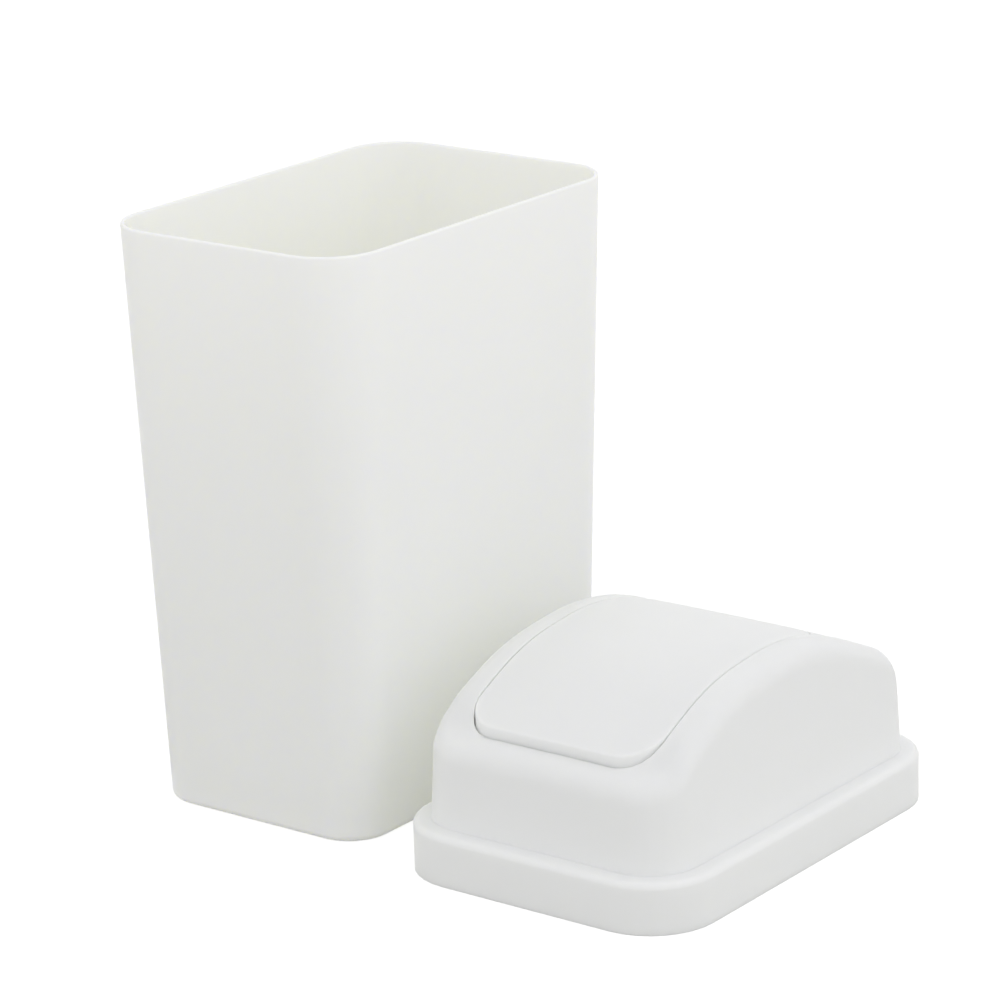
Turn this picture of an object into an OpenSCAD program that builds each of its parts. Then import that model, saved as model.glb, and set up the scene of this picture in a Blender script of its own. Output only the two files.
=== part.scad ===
// Countertop bin: a tapered box with a separate swing-flap lid, which stands beside it.
// The frame's origin is the middle of the bin's underside. The flap slopes down to the front, -Y.

/* [Bin] */
// Height of the bin, floor to rim
bin_h = 250; // [200:5:320]
// Width of the rim, side to side
bin_w = 128; // [112:1:150]
// Length of the rim, front to back
bin_l = 190; // [176:1:220]
// Lean of the four walls, in degrees
bin_draft = 1.9; // [0.5:0.1:3]
// Corner radius at the rim
bin_corner = 25; // [16:0.5:32]
// Corner radius at the floor
bin_foot_corner = 19; // [12:0.5:28]
// Thickness of the four walls
bin_wall = 2; // [1.4:0.1:3]
// Thickness of the floor
bin_floor = 2.6; // [1.6:0.1:4]
// Rounding where the walls meet the floor, outside
bin_foot_r = 3; // [1:0.5:5]
// Rounding of the corner between wall and floor, inside
bin_inner_r = 5; // [2:0.5:9]

/* [Lid skirt] */
// Room between the rim and the skirt, where a bag folds over
skirt_gap = 4; // [2:0.1:5]
// Thickness of the lid's walls
lid_wall = 2; // [1.4:0.1:2.6]
// Height of the skirt, up to the foot of the hood's wall
skirt_h = 21.7; // [18:0.1:40]
// Corner radius of the skirt
lid_corner = 29; // [27:0.5:36]
// Reach of the shoulder, from the skirt in to the foot of the hood's wall
shoulder_run = 7; // [6:0.1:8]
// Fall of the shoulder, in degrees
shoulder_fall = 3; // [1:1:20]
// Rounding of the shoulder's outer edge
shoulder_r = 2.8; // [2.7:0.1:4]
// Rounding at the foot of the hood's walls
hood_foot_r = 0.6; // [0.5:0.1:2]
// Lean of the hood's walls, in degrees
hood_draft = 3.2; // [1:0.1:6]

/* [Hood] */
// Height of the flap's top at its front edge, above the skirt's lower edge
front_h = 64.2; // [58:0.1:72]
// Climb of the front slope, in degrees
slope_angle = 24.1; // [20:0.1:30]
// Length along the floor of the front slope
slope_run = 45; // [36:0.5:52]
// Radius where the slope turns into the crest
slope_r = 106; // [50:1:120]
// Climb of the crest, in degrees
crest_angle = 5.2; // [2:0.1:8]
// Length along the floor of the crest
crest_run = 60.9; // [58:0.1:66]
// Fall behind the crest, in degrees
rear_angle = 24.4; // [14:0.1:28]
// Radius where the crest turns down to the rear
crest_r = 124; // [50:1:128]
// Rounding of the hood's edge along both sides
side_r = 8.9; // [6:0.1:14]
// Rounding of the hood's edge at the front
nose_r = 10; // [5:0.5:11.5]
// Rounding of the hood's edge at the rear
tail_r = 24; // [16:0.5:28]
// Rise of the top's middle above the flap's two sides
crown = 0.4; // [0:0.1:2]

/* [Opening] */
// From the skirt's side in to the opening
side_band = 24.2; // [22:0.1:32]
// From the skirt's front in to the opening
front_band = 18.9; // [16:0.1:26]
// Length of the opening
opening_l = 130; // [110:1:134]
// Corner radius of the opening
opening_corner = 17; // [8:0.5:22]
// Rounding of the opening's edge
opening_edge_r = 0.6; // [0.5:0.1:2]
// Depth of the opening's turned-down edge along the sides
flange_side = 5; // [4:0.5:8]
// Depth of the turned-down edge at the front
flange_front = 6; // [4:0.5:9]
// How far the hood lies below the flap at the front lip
lip_reveal = 4.2; // [1:0.1:7]
// Length over which the hood dips away from the flap
dip_run = 18; // [12:0.5:30]

/* [Flap] */
// Running gap between flap and opening
flap_gap = 0.6; // [0.5:0.1:1.5]
// Thickness of the flap
flap_wall = 2; // [1.4:0.1:2.6]
// Rounding of the flap's top edge
flap_edge_r = 0.8; // [0.5:0.1:1.9]
// Depth of the flap's rim along the sides
rim_side = 5; // [4:0.5:8]
// Depth of the lip at the front
rim_front = 9; // [6:0.5:12]
// Depth of the rim at the rear, which rests on the ledge
rim_rear = 7; // [4:0.5:9]

/* [Hinge] */
// From the flap's front edge back to the hinge line
pivot_run = 51; // [48:0.5:60]
// From the flap's top down to the hinge line
pivot_drop = 8; // [7.5:0.5:12]
// Diameter of the stub axles
axle_d = 6; // [4:0.5:6]
// Running clearance of the stub axles, on the radius
axle_clearance = 0.08; // [0.03:0.01:0.1]
// Thickness of the lugs and ears
ear_t = 2.4; // [1.8:0.1:3.5]
// Wall round the axle's hole
ear_wall = 2.8; // [2:0.1:3.2]
// Width of the snap-in slot, under the axle's diameter
snap_grip = 0.8; // [0.4:0.1:1.5]

/* [Stops and ribs] */
// Gap between the flap's rear rim and its ledge
ledge_gap = 0.3; // [0.2:0.1:0.6]
// Thickness of the rear ledge
ledge_t = 2; // [1.5:0.1:3]
// How far the ledge reaches under the flap
ledge_reach = 3; // [2:0.5:5]
// Number of centring ribs along each long side
ribs_per_side = 3; // [2:1:4]
// Number of centring ribs at each end
ribs_per_end = 2; // [2:1:3]
// Thickness of a centring rib
rib_t = 1.6; // [1:0.1:2.5]
// Play between the ribs and the bin's rim
rib_play = 0.6; // [0.3:0.1:1]
// From the skirt's lower edge up to the ribs
rib_lift = 7; // [4:0.5:10]

/* [Where the lid stands] */
// Gap between the bin's rim and the lid, seen from above
lid_apart = 15.4; // [8:0.1:60]
// Shift of the lid to the rear
lid_shift = 1.4; // [-20:0.1:20]

/* [Hidden] */

// Steps round each corner of the bin, and of the lid
bin_corner_steps = 12;
lid_corner_steps = 8;
// Steps along a long side of the lid, and across a short end of the hood
side_steps = 24;
end_steps = 4;
// Steps round each edge
edge_steps = 6;
lip_steps = 3;
// Smallest radius of an inner edge
edge_min = 0.3;
// Steps over half of the flap's crown
crown_steps = 3;
// Facets of round bores and axles
$fn = 64;
// Overlap of pieces that are fused into one solid
fuse = 0.4;

lid_w = bin_w + 2 * (skirt_gap + lid_wall);
lid_l = bin_l + 2 * (skirt_gap + lid_wall);
lid_x = bin_w / 2 + lid_apart + lid_w / 2;
opening_w = lid_w - 2 * side_band;
opening_front = front_band - lid_l / 2;
opening_mid = opening_front + opening_l / 2;
flap_front = opening_front + flap_gap;
rear_band = lid_l - front_band - opening_l;
hood_step = shoulder_run + hood_foot_r;
flange_rear = rim_rear + ledge_gap + ledge_t;
slope_knee = [flap_front + slope_run, front_h + slope_run * tan(slope_angle)];
crest_knee = slope_knee + crest_run * [1, tan(crest_angle)];
slope_end = slope_knee.x + slope_r * tan((slope_angle - crest_angle) / 2) * cos(crest_angle);
pivot_y = flap_front + pivot_run;
pivot_z = side_top(pivot_y) - pivot_drop;
ear_r = axle_d / 2 + ear_wall;

// A station is a place on any rounded rectangle: [corner x, corner y, normal x, normal y].
function corner_stations(turn, sign_x, sign_y, steps) = [
    for (step = [0:steps])
        let (angle = turn + 90 * step / steps)
        [sign_x, sign_y, cos(angle), sin(angle)]
];

function straight_stations(turn, from, to, steps) = [
    for (step = [1:1:steps - 1])
        let (share = step / steps)
        [from.x + (to.x - from.x) * share, from.y + (to.y - from.y) * share, cos(turn), sin(turn)]
];

// Stations anticlockwise from the front right corner, by steps at a corner, along a side and at an end
function stations(corner, side, end) = concat(
    corner_stations(-90, 1, -1, corner),
    straight_stations(0, [1, -1], [1, 1], side),
    corner_stations(0, 1, 1, corner),
    straight_stations(90, [1, 1], [-1, 1], end),
    corner_stations(90, -1, 1, corner),
    straight_stations(180, [-1, 1], [-1, -1], side),
    corner_stations(180, -1, -1, corner),
    straight_stations(270, [-1, -1], [1, -1], end)
);

BIN_RING = stations(bin_corner_steps, 1, 1);
HOOD_RING = stations(lid_corner_steps, side_steps, end_steps);
FLAP_RING = stations(lid_corner_steps, side_steps, 1);

// Point of a station on a rounded rectangle of the given size
function place(s, w, l, r, mid_y = 0) = [
    s[0] * (w / 2 - r) + s[2] * r,
    mid_y + s[1] * (l / 2 - r) + s[3] * r
];

// A size for each way that a station faces, blended round the corners
function by_side(s, side, front, rear) =
    s[2] * s[2] * side + s[3] * s[3] * (s[3] < 0 ? front : rear);

function lifted(p, z) = [p.x, p.y, z];

function blend(a, b, share) = a + (b - a) * share;

function ease(t) = let (u = min(max(t, 0), 1)) u * u * (3 - 2 * u);

// Triangles between neighbouring rings of n points
function band(n, a, b) = [
    for (i = [0:n - 1])
        let (j = (i + 1) % n)
        each [[a * n + i, b * n + i, b * n + j], [a * n + i, b * n + j, a * n + j]]
];

// Strips across a ring, from its right side to the mirrored stations of its left side
function strips(n, ring, faces_up) = [
    for (i = [0:n / 2 - 2])
        let (a = ring * n + i, b = a + 1, c = ring * n + n - 1 - i, d = c - 1)
        each (faces_up ? [[a, d, b], [a, c, d]] : [[a, b, d], [a, d, c]])
];

// A solid inside a stack of rings, outer rings first. Its ends are capped, or meet each other.
module loft(rings, closed = false) {
    n = len(rings[0]);
    last = len(rings) - 1;
    points = [for (ring = rings) each ring];
    walls = [for (k = [0:last - 1]) each band(n, k, k + 1)];
    ends = closed ? band(n, last, 0) : concat(strips(n, 0, false), strips(n, last, true));
    polyhedron(points, concat(walls, ends));
}

// ---- Bin ----

function bin_lean(z) = (bin_h - z) * tan(bin_draft);

function bin_ring(inset, z) =
    let (in = inset + bin_lean(z), r = blend(bin_foot_corner, bin_corner, z / bin_h) - inset)
    [for (s = BIN_RING) lifted(place(s, bin_w - 2 * in, bin_l - 2 * in, r), z)];

module bin_body() {
    rim_r = bin_wall / 2;
    foot = [
        for (k = [0:edge_steps])
            let (a = 90 * k / edge_steps)
            bin_ring(bin_foot_r * (1 - sin(a)), bin_foot_r * (1 - cos(a)))
    ];
    rim = [
        for (k = [0:edge_steps])
            let (a = 180 * k / edge_steps)
            bin_ring(rim_r * (1 - cos(a)), bin_h - rim_r + rim_r * sin(a))
    ];
    well = [
        for (k = [0:edge_steps])
            let (a = 90 * k / edge_steps)
            bin_ring(bin_wall + bin_inner_r * (1 - cos(a)), bin_floor + bin_inner_r * (1 - sin(a)))
    ];
    color("white") loft(concat(foot, rim, well));
}

// ---- Top of the lid ----

// Height at y of two lines that meet at a knee, rounded to radius r, one rising at a1, the next at a2
function knee(at, a1, a2, r, y) =
    let (
        reach = r * tan(abs(a2 - a1) / 2),
        way = sign(a2 - a1),
        from = at.x - reach * cos(a1),
        to = at.x + reach * cos(a2),
        mid_y = from - way * r * sin(a1),
        mid_z = at.y - reach * sin(a1) + way * r * cos(a1)
    )
    y <= from ? at.y + (y - at.x) * tan(a1)
    : y >= to ? at.y + (y - at.x) * tan(a2)
    : mid_z - way * sqrt(r * r - (y - mid_y) * (y - mid_y));

// Height of the top along the flap's sides: a slope, a crest and a fall
function side_top(y) =
    y < slope_end
        ? knee(slope_knee, slope_angle, crest_angle, slope_r, y)
        : knee(crest_knee, crest_angle, -rear_angle, crest_r, y);

// Height of the flap's top, crowned across
function flap_top(p) = side_top(p.y) + crown * (1 - pow(2 * p.x / opening_w, 2));

// Height of the hood's top: flush with the flap, but for the dip in front of its lip
function hood_top(p) = flap_top(p) - lip_reveal * ease((flap_front + dip_run - p.y) / dip_run);

// ---- Hood ----

function lid_point(s, inset) =
    place(s, lid_w - 2 * inset, lid_l - 2 * inset, max(lid_corner - inset, opening_edge_r));

function lid_ring(inset, z) = [for (s = HOOD_RING) lifted(lid_point(s, inset), z)];

// Height of the shoulder's slope, at a depth under its face
function shoulder_z(inset, depth) =
    skirt_h + hood_foot_r - (hood_foot_r + depth) / cos(shoulder_fall)
        + (inset - hood_step + hood_foot_r) * tan(shoulder_fall);

// The shoulder's outer edge, rounded over from the skirt to the slope, as [inset, height]
function shoulder_edge(depth) =
    let (r = max(shoulder_r - depth, edge_min), mid = depth + r)
    [
        for (k = [0:edge_steps])
            let (a = (90 - shoulder_fall) * k / edge_steps)
            [mid - r * cos(a), shoulder_z(mid, depth + r) + r * sin(a)]
    ];

function wall_inset(z) = hood_step + (z - skirt_h) * tan(hood_draft);

// How far a station faces ahead, 0 to 1
function ahead(s) = max(-s[3], 0);

// Fall of the slope that runs down to the brow
function brow_fall(s) = atan(pow(ahead(s), 3) * tan(slope_angle));

// Radius of the brow, where the hood's wall rounds over into its top, and at most the room for it
function brow_r(s) =
    let (
        top = hood_top(lid_point(s, hood_step)),
        room = by_side(s, side_band, front_band, rear_band) - lid_wall - wall_inset(top)
    )
    min(by_side(s, side_r, nose_r, tail_r), room / (1 - sin(brow_fall(s))));

// Where the brow starts: how far in from the skirt
function brow_inset(s) = wall_inset(hood_top(lid_point(s, hood_step)) - brow_r(s));

// One step round the brow, at a depth inside its outer face and a share of the way up from the wall.
// At the front the round stops where it meets the slope that runs down to it.
function brow_ring(depth, share) = [
    for (s = HOOD_RING)
        let (
            r = brow_r(s),
            fall = brow_fall(s),
            angle = share * (90 - fall),
            p = lid_point(s, brow_inset(s) + r - (r - depth) * cos(angle)),
            top = blend(hood_top(p), hood_top(lid_point(s, brow_inset(s) + r)), ahead(s) * ahead(s))
        )
        lifted(p, top - r / cos(fall) + (r - depth) * sin(angle))
];

function opening_point(s, out) =
    place(s, opening_w + 2 * out, opening_l + 2 * out, opening_corner + out, opening_mid);

// A ring half way over the top, between the brow and a line outside the opening
function top_ring(depth, out) = [
    for (s = HOOD_RING)
        let (p = blend(lid_point(s, brow_inset(s) + brow_r(s)), opening_point(s, out), 0.5))
        lifted(p, hood_top(p) - depth)
];

function edge_ring(angle) = [
    for (s = HOOD_RING)
        let (p = opening_point(s, opening_edge_r * (1 - sin(angle))))
        lifted(p, hood_top(p) - opening_edge_r * (1 - cos(angle)))
];

function flange_ring(out) = [
    for (s = HOOD_RING)
        let (p = opening_point(s, out))
        lifted(p, hood_top(p) - by_side(s, flange_side, flange_front, flange_rear))
];

module hood_shell() {
    skirt = [lid_ring(lid_wall, 0), lid_ring(0, 0)];
    shoulder = [for (q = shoulder_edge(0)) lid_ring(q.x, q.y)];
    foot = [
        for (k = [0:lip_steps])
            let (a = blend(shoulder_fall, 90, k / lip_steps))
            lid_ring(hood_step - hood_foot_r * (1 - sin(a)), skirt_h + hood_foot_r * (1 - cos(a)))
    ];
    brow = [for (k = [0:edge_steps]) brow_ring(0, k / edge_steps)];
    top = [top_ring(0, opening_edge_r)];
    edge = [for (k = [0:lip_steps]) edge_ring(90 * k / lip_steps)];
    flange = [flange_ring(0), flange_ring(lid_wall)];
    under = [
        [for (s = HOOD_RING) let (p = opening_point(s, lid_wall)) lifted(p, hood_top(p) - lid_wall)],
        top_ring(lid_wall, lid_wall)
    ];
    under_brow = [for (k = [edge_steps:-1:0]) brow_ring(lid_wall, k / edge_steps)];
    seat = [lid_ring(hood_step + lid_wall, shoulder_z(hood_step + lid_wall, lid_wall))];
    under_edge = shoulder_edge(lid_wall);
    under_shoulder = [for (k = [len(under_edge) - 1:-1:0]) lid_ring(under_edge[k].x, under_edge[k].y)];
    outside = concat(skirt, shoulder, foot, brow, top, edge, flange);
    loft(concat(outside, under, under_brow, seat, under_shoulder), true);
}

// A plate across the hinge line: a disc round it, and a web up to a depth under the top
module ear(inner_x, depth) {
    translate([inner_x, pivot_y, pivot_z]) rotate([90, 0, 90]) linear_extrude(ear_t) {
        circle(ear_r);
        polygon([
            [-ear_r, 0],
            [ear_r, 0],
            [ear_r, side_top(pivot_y + ear_r) - depth - pivot_z],
            [-ear_r, side_top(pivot_y - ear_r) - depth - pivot_z]
        ]);
    }
}

module both_sides() {
    children();
    mirror([1, 0, 0]) children();
}

// The hole that an axle snaps into from below
module axle_hole() {
    hole_r = axle_d / 2 + axle_clearance;
    slot_w = axle_d - snap_grip;
    reach = ear_t + 2 * fuse;
    translate([opening_w / 2 - fuse, pivot_y, pivot_z]) {
        rotate([0, 90, 0]) cylinder(h = reach, r = hole_r);
        translate([0, -slot_w / 2, -ear_r - fuse]) cube([reach, slot_w, ear_r + fuse]);
    }
}

// A rib on the skirt, which it faces along +X. It runs up into the middle of the shoulder's wall.
module centring_rib() {
    mid_wall = lid_wall / 2;
    face = lid_wall + skirt_gap - rib_play;
    rotate([90, 0, 0]) linear_extrude(rib_t, center = true)
        polygon(concat(
            [[mid_wall, rib_lift]],
            shoulder_edge(mid_wall),
            [[face, shoulder_z(face, mid_wall)], [face, rib_lift]]
        ));
}

module centring_ribs() {
    side_pitch = (lid_l - 2 * lid_corner) / ribs_per_side;
    end_pitch = (lid_w - 2 * lid_corner) / ribs_per_end;
    both_sides()
        for (k = [0:ribs_per_side - 1])
            translate([-lid_w / 2, (k - (ribs_per_side - 1) / 2) * side_pitch, 0]) centring_rib();
    for (k = [0:ribs_per_end - 1], end = [0, 1])
        mirror([0, end, 0])
            translate([(k - (ribs_per_end - 1) / 2) * end_pitch, -lid_l / 2, 0])
                rotate([0, 0, 90]) centring_rib();
}

// The ledge that the flap's heavier rear rests on
module rear_ledge() {
    opening_rear = opening_front + opening_l;
    flap_rear = opening_rear - flap_gap;
    ledge_w = opening_w - 2 * opening_corner;
    ledge_top = flap_top([ledge_w / 2, flap_rear]) - rim_rear - ledge_gap;
    translate([-ledge_w / 2, flap_rear - ledge_reach, ledge_top - ledge_t])
        cube([ledge_w, ledge_reach + flap_gap + fuse, ledge_t]);
}

module lid_hood() {
    color("white") translate([lid_x, lid_shift, 0]) difference() {
        union() {
            hood_shell();
            both_sides() ear(opening_w / 2, max(lid_wall - fuse, opening_edge_r));
            centring_ribs();
            rear_ledge();
        }
        both_sides() axle_hole();
    }
}

// ---- Flap ----

function flap_point(s, inset) =
    place(s, opening_w - 2 * (flap_gap + inset), opening_l - 2 * (flap_gap + inset),
        opening_corner - flap_gap - inset, opening_mid);

function flap_ring(inset, depth) = [
    for (s = FLAP_RING)
        let (p = flap_point(s, inset))
        lifted(p, flap_top(p) - depth)
];

// A ring over the flap's top, drawn in towards its long middle line
function crown_ring(share) = [
    for (s = FLAP_RING)
        let (
            spine = [0, opening_mid + s[1] * (opening_l - opening_w) / 2],
            p = blend(flap_point(s, flap_edge_r), spine, share)
        )
        lifted(p, flap_top(p))
];

function rim_ring(inset) = [
    for (s = FLAP_RING)
        let (p = flap_point(s, inset))
        lifted(p, flap_top(p) - by_side(s, rim_side, rim_front, rim_rear))
];

module flap_shell() {
    edge = [
        for (k = [lip_steps:-1:0])
            let (a = 90 * k / lip_steps)
            flap_ring(flap_edge_r * (1 - sin(a)), flap_edge_r * (1 - cos(a)))
    ];
    crowned = [for (k = [1:crown_steps]) crown_ring(k / (crown_steps + 1))];
    loft(concat([flap_ring(flap_wall, flap_wall), rim_ring(flap_wall), rim_ring(0)], edge, crowned));
}

module swing_flap() {
    flap_side = opening_w / 2 - flap_gap;
    color("white") translate([lid_x, lid_shift, 0]) {
        flap_shell();
        both_sides() {
            ear(flap_side - ear_t, max(flap_wall - fuse, flap_edge_r));
            translate([flap_side - fuse, pivot_y, pivot_z])
                rotate([0, 90, 0]) cylinder(h = ear_t + flap_gap + fuse, d = axle_d);
        }
    }
}

bin_body();
lid_hood();
swing_flap();
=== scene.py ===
"""Countertop bin with its swing-flap lid standing beside it: materials, light and camera."""

from math import cos, sin

import bpy
from mathutils import Matrix, Vector

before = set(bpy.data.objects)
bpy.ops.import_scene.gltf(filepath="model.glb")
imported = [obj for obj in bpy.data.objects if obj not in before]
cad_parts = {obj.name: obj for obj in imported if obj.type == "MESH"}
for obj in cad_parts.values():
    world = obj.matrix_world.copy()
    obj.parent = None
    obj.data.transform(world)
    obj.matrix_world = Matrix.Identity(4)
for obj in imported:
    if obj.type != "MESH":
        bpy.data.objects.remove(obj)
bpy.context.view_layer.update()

# The photograph's camera, in the frame's metres
CAMERA_PLACE = (1.09377, -1.34146, 0.65330)
CAMERA_YAW = 2.22419
CAMERA_PITCH = -0.30097
CAMERA_ROLL = -0.02882
SENSOR_WIDTH = 36
FOCAL_LENGTH = 153.82

# White polypropylene, a little warmer on the bin than on the lid
BIN_WHITE = (0.972, 0.980, 0.918)
LID_WHITE = (0.942, 0.950, 0.940)
BIN_ROUGHNESS = 0.42
LID_ROUGHNESS = 0.46
ROUGHNESS_SPREAD = 0.04
PLASTIC_IOR = 1.49

# How much light goes through the walls, and how far its red, green and blue creep
BIN_GLOW = 1.0
LID_GLOW = 0.5
BIN_GLOW_REACH = (0.0070, 0.0069, 0.0050)
LID_GLOW_REACH = (0.0070, 0.0069, 0.0060)

# The plastic's cloudy flow, from its darkest to its lightest share of the colour
FLOW_SCALE = 14
FLOW_DARKEST = 0.985
FLOW_LIGHTEST = 1.01
GLOSS_SCALE = 60

# The skin's waviness and its fine grain: how many to the metre, and how high in metres
WAVE_SCALE = 18
WAVE_HEIGHT = 0.00025
GRAIN_SCALE = 2600
BIN_GRAIN = 0.00003
LID_GRAIN = 0.00004

# Edges sharper than this stay crisp, in radians
CRISP_ANGLE = 0.70
MERGE_DISTANCE = 2e-6

# The floor's own colour, and the white that a camera sees in its place
FLOOR_SIZE = 12
FLOOR_WHITE = (0.75, 0.75, 0.715)
SEEN_SHINE = 0.86
SEEN_GREY = (0.25, 0.25, 0.25)

# Light from all round, and the softbox over the right-hand side
PURE_WHITE = (1.0, 1.0, 1.0)
AMBIENT_LEVEL = 0.925
KEY_PLACE = (2.1, 0.0, 1.3)
KEY_AIM = (0.08, 0, 0.12)
KEY_SIZE = 1.6
KEY_POWER = 4
DIFFUSE_BOUNCES = 8


class Nodes:
    """A material's or a node group's tree, with short calls for its nodes and links."""

    def __init__(self, tree):
        self.tree = tree

    def add(self, kind, **settings):
        node = self.tree.nodes.new(kind)
        for name, value in settings.items():
            setattr(node, name, value)
        return node

    def link(self, source, target):
        self.tree.links.new(source, target)

    def noise(self, place, scale, detail=2.0, roughness=0.5):
        node = self.add("ShaderNodeTexNoise")
        node.inputs["Scale"].default_value = scale
        node.inputs["Detail"].default_value = detail
        node.inputs["Roughness"].default_value = roughness
        self.link(place, node.inputs["Vector"])
        return node.outputs["Fac"]

    def spread(self, value, low, high):
        """Carries a noise's 0.3 to 0.7 over to low to high."""
        node = self.add("ShaderNodeMapRange")
        node.inputs["From Min"].default_value = 0.3
        node.inputs["From Max"].default_value = 0.7
        node.inputs["To Min"].default_value = low
        node.inputs["To Max"].default_value = high
        self.link(value, node.inputs["Value"])
        return node.outputs["Result"]

    def bump(self, height, distance, normal=None):
        node = self.add("ShaderNodeBump")
        node.inputs["Distance"].default_value = distance
        self.link(height, node.inputs["Height"])
        if normal:
            self.link(normal, node.inputs["Normal"])
        return node.outputs["Normal"]


def seen_directly(nodes):
    """1 for the camera and for reflections and clear materials, which show the background as it does."""
    path = nodes.add("ShaderNodeLightPath")
    share = path.outputs["Is Camera Ray"]
    for ray in ("Is Glossy Ray", "Is Transmission Ray"):
        larger = nodes.add("ShaderNodeMath", operation="MAXIMUM")
        nodes.link(share, larger.inputs[0])
        nodes.link(path.outputs[ray], larger.inputs[1])
        share = larger.outputs[0]
    return share


def tinted(colour, share=1.0):
    """A colour at a share of its strength, with full alpha."""
    return tuple(channel * share for channel in colour) + (1.0,)


def moulded_plastic(name, colour, roughness, grain, glow, glow_reach):
    """Matt white plastic: cloudy flow in the colour, a fine grain, a faint waviness of the walls."""
    material = bpy.data.materials.new(name)
    material.use_nodes = True
    nodes = Nodes(material.node_tree)
    shader = material.node_tree.nodes["Principled BSDF"]
    place = nodes.add("ShaderNodeTexCoord").outputs["Object"]

    flow = nodes.spread(nodes.noise(place, FLOW_SCALE, detail=3), 0.0, 1.0)
    shades = nodes.add("ShaderNodeMix", data_type="RGBA")
    # A colour mix has its factor at 0, its two colours at 6 and 7, and its result at 2
    shades.inputs[6].default_value = tinted(colour, FLOW_DARKEST)
    shades.inputs[7].default_value = tinted(colour, FLOW_LIGHTEST)
    nodes.link(flow, shades.inputs[0])
    nodes.link(shades.outputs[2], shader.inputs["Base Color"])

    clouds = nodes.noise(place, GLOSS_SCALE)
    gloss = nodes.spread(clouds, roughness - ROUGHNESS_SPREAD, roughness + ROUGHNESS_SPREAD)
    nodes.link(gloss, shader.inputs["Roughness"])

    waves = nodes.bump(nodes.noise(place, WAVE_SCALE, detail=1), WAVE_HEIGHT)
    skin = nodes.bump(nodes.noise(place, GRAIN_SCALE, detail=4, roughness=0.65), grain, waves)
    nodes.link(skin, shader.inputs["Normal"])
    shader.inputs["IOR"].default_value = PLASTIC_IOR
    shader.inputs["Subsurface Weight"].default_value = glow
    shader.inputs["Subsurface Radius"].default_value = glow_reach
    shader.inputs["Subsurface Scale"].default_value = 1.0
    return material


def smooth_shading():
    """A node group that joins a solid's faces and shades them as one skin between its crisp edges."""
    group = bpy.data.node_groups.new("smooth_skin", "GeometryNodeTree")
    group.interface.new_socket("Geometry", in_out="INPUT", socket_type="NodeSocketGeometry")
    group.interface.new_socket("Geometry", in_out="OUTPUT", socket_type="NodeSocketGeometry")
    nodes = Nodes(group)
    start = nodes.add("NodeGroupInput")
    end = nodes.add("NodeGroupOutput")
    merge = nodes.add("GeometryNodeMergeByDistance")
    merge.inputs["Distance"].default_value = MERGE_DISTANCE
    angle = nodes.add("GeometryNodeInputMeshEdgeAngle")
    crisp = nodes.add("FunctionNodeCompare", operation="GREATER_THAN")
    crisp.inputs["B"].default_value = CRISP_ANGLE
    smooth = nodes.add("GeometryNodeSetShadeSmooth", domain="FACE")
    sharp = nodes.add("GeometryNodeSetShadeSmooth", domain="EDGE")
    sharp.inputs["Shade Smooth"].default_value = False
    nodes.link(start.outputs[0], merge.inputs["Geometry"])
    nodes.link(merge.outputs["Geometry"], smooth.inputs["Geometry"])
    nodes.link(smooth.outputs["Geometry"], sharp.inputs["Geometry"])
    nodes.link(angle.outputs["Unsigned Angle"], crisp.inputs["A"])
    nodes.link(crisp.outputs["Result"], sharp.inputs["Selection"])
    nodes.link(sharp.outputs["Geometry"], end.inputs[0])
    return group


def dress(node, material, skin):
    """Gives a CAD node its material and its smooth skin."""
    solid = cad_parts[node]
    solid.data.materials.clear()
    solid.data.materials.append(material)
    solid.modifiers.new("smooth skin", "NODES").node_group = skin
    normals = solid.modifiers.new("weighted normals", "WEIGHTED_NORMAL")
    normals.keep_sharp = True


def add_floor():
    """A pale floor, which a camera sees as white but for the soft shadow."""
    bpy.ops.mesh.primitive_plane_add(size=FLOOR_SIZE)
    floor = bpy.context.object
    floor.name = "floor"
    material = bpy.data.materials.new("floor_white")
    material.use_nodes = True
    nodes = Nodes(material.node_tree)
    material.node_tree.nodes.clear()
    output = nodes.add("ShaderNodeOutputMaterial")
    plain = nodes.add("ShaderNodeBsdfDiffuse")
    plain.inputs["Color"].default_value = tinted(FLOOR_WHITE)
    shadow = nodes.add("ShaderNodeBsdfDiffuse")
    shadow.inputs["Color"].default_value = tinted(SEEN_GREY)
    glow = nodes.add("ShaderNodeEmission")
    glow.inputs["Strength"].default_value = SEEN_SHINE
    seen = nodes.add("ShaderNodeAddShader")
    mix = nodes.add("ShaderNodeMixShader")
    nodes.link(shadow.outputs[0], seen.inputs[0])
    nodes.link(glow.outputs[0], seen.inputs[1])
    nodes.link(seen_directly(nodes), mix.inputs[0])
    nodes.link(plain.outputs[0], mix.inputs[1])
    nodes.link(seen.outputs[0], mix.inputs[2])
    nodes.link(mix.outputs[0], output.inputs["Surface"])
    floor.data.materials.append(material)


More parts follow.
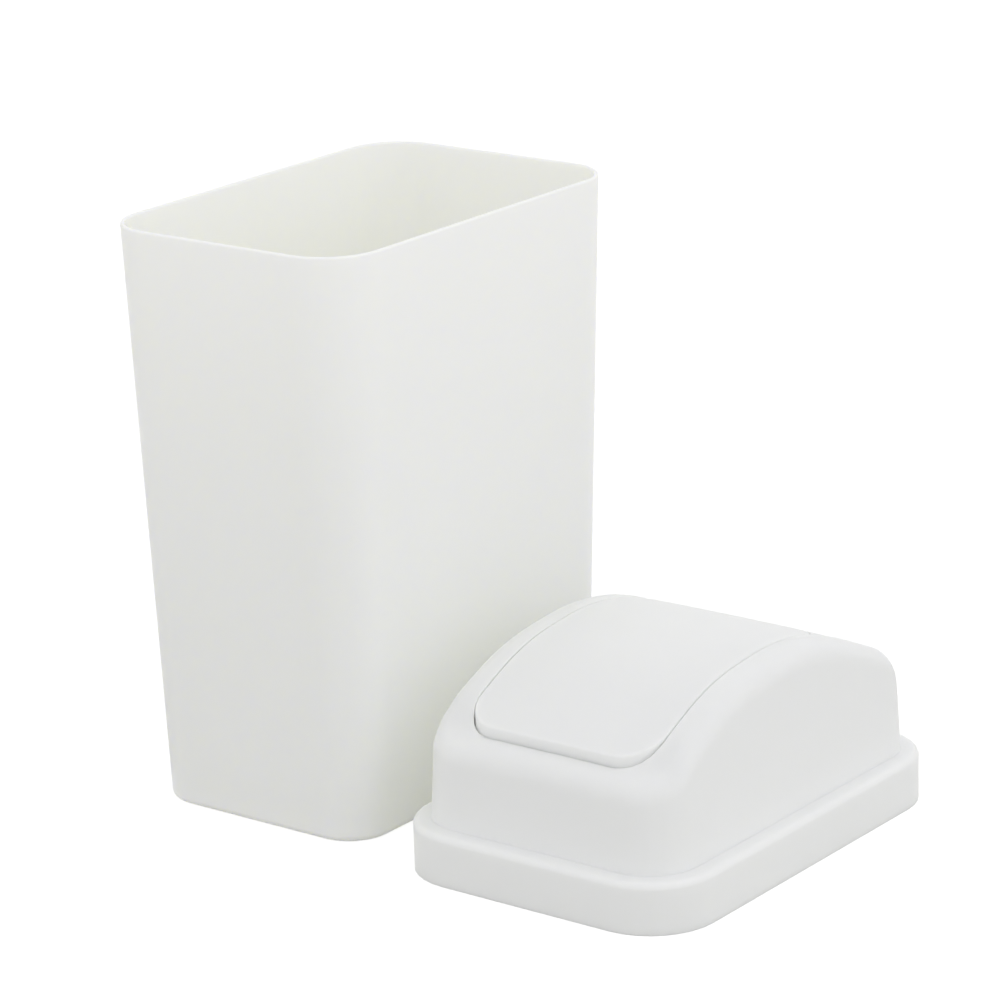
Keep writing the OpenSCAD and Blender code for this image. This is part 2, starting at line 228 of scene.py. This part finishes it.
def add_world():
    """Even light from all round, which a camera sees as white."""
    world = bpy.data.worlds.new("studio")
    bpy.context.scene.world = world
    world.use_nodes = True
    nodes = Nodes(world.node_tree)
    world.node_tree.nodes.clear()
    output = nodes.add("ShaderNodeOutputWorld")
    ambient = nodes.add("ShaderNodeBackground")
    ambient.inputs["Color"].default_value = tinted(PURE_WHITE)
    ambient.inputs["Strength"].default_value = AMBIENT_LEVEL
    white = nodes.add("ShaderNodeBackground")
    white.inputs["Color"].default_value = tinted(PURE_WHITE)
    mix = nodes.add("ShaderNodeMixShader")
    nodes.link(seen_directly(nodes), mix.inputs[0])
    nodes.link(ambient.outputs[0], mix.inputs[1])
    nodes.link(white.outputs[0], mix.inputs[2])
    nodes.link(mix.outputs[0], output.inputs["Surface"])


def add_softbox(name, place, aim, size, power):
    """A square lamp that faces the point it is aimed at."""
    lamp = bpy.data.lights.new(name, "AREA")
    lamp.shape = "SQUARE"
    lamp.size = size
    lamp.energy = power
    softbox = bpy.data.objects.new(name, lamp)
    bpy.context.scene.collection.objects.link(softbox)
    softbox.location = place
    softbox.rotation_euler = (Vector(aim) - Vector(place)).to_track_quat("-Z", "Y").to_euler()


def add_camera():
    """The photograph's camera, turned by its yaw, pitch and roll."""
    camera = bpy.data.objects.new("camera", bpy.data.cameras.new("camera"))
    bpy.context.scene.collection.objects.link(camera)
    camera.data.sensor_width = SENSOR_WIDTH
    camera.data.lens = FOCAL_LENGTH
    ahead = cos(CAMERA_PITCH)
    facing = Vector((ahead * cos(CAMERA_YAW), ahead * sin(CAMERA_YAW), sin(CAMERA_PITCH)))
    turn = facing.to_track_quat("-Z", "Y").to_matrix().to_4x4()
    roll = Matrix.Rotation(CAMERA_ROLL, 4, "Z")
    camera.matrix_world = Matrix.Translation(CAMERA_PLACE) @ turn @ roll
    bpy.context.scene.camera = camera


skin = smooth_shading()
bin_plastic = moulded_plastic(
    "bin_plastic", BIN_WHITE, BIN_ROUGHNESS, BIN_GRAIN, BIN_GLOW, BIN_GLOW_REACH
)
dress("bin_body", bin_plastic, skin)
lid_plastic = moulded_plastic(
    "lid_plastic", LID_WHITE, LID_ROUGHNESS, LID_GRAIN, LID_GLOW, LID_GLOW_REACH
)
dress("lid_hood", lid_plastic, skin)
dress("swing_flap", lid_plastic, skin)

add_floor()
add_world()
add_softbox("key", KEY_PLACE, KEY_AIM, KEY_SIZE, KEY_POWER)
add_camera()

bpy.context.scene.view_settings.view_transform = "Standard"
bpy.context.scene.cycles.diffuse_bounces = DIFFUSE_BOUNCES
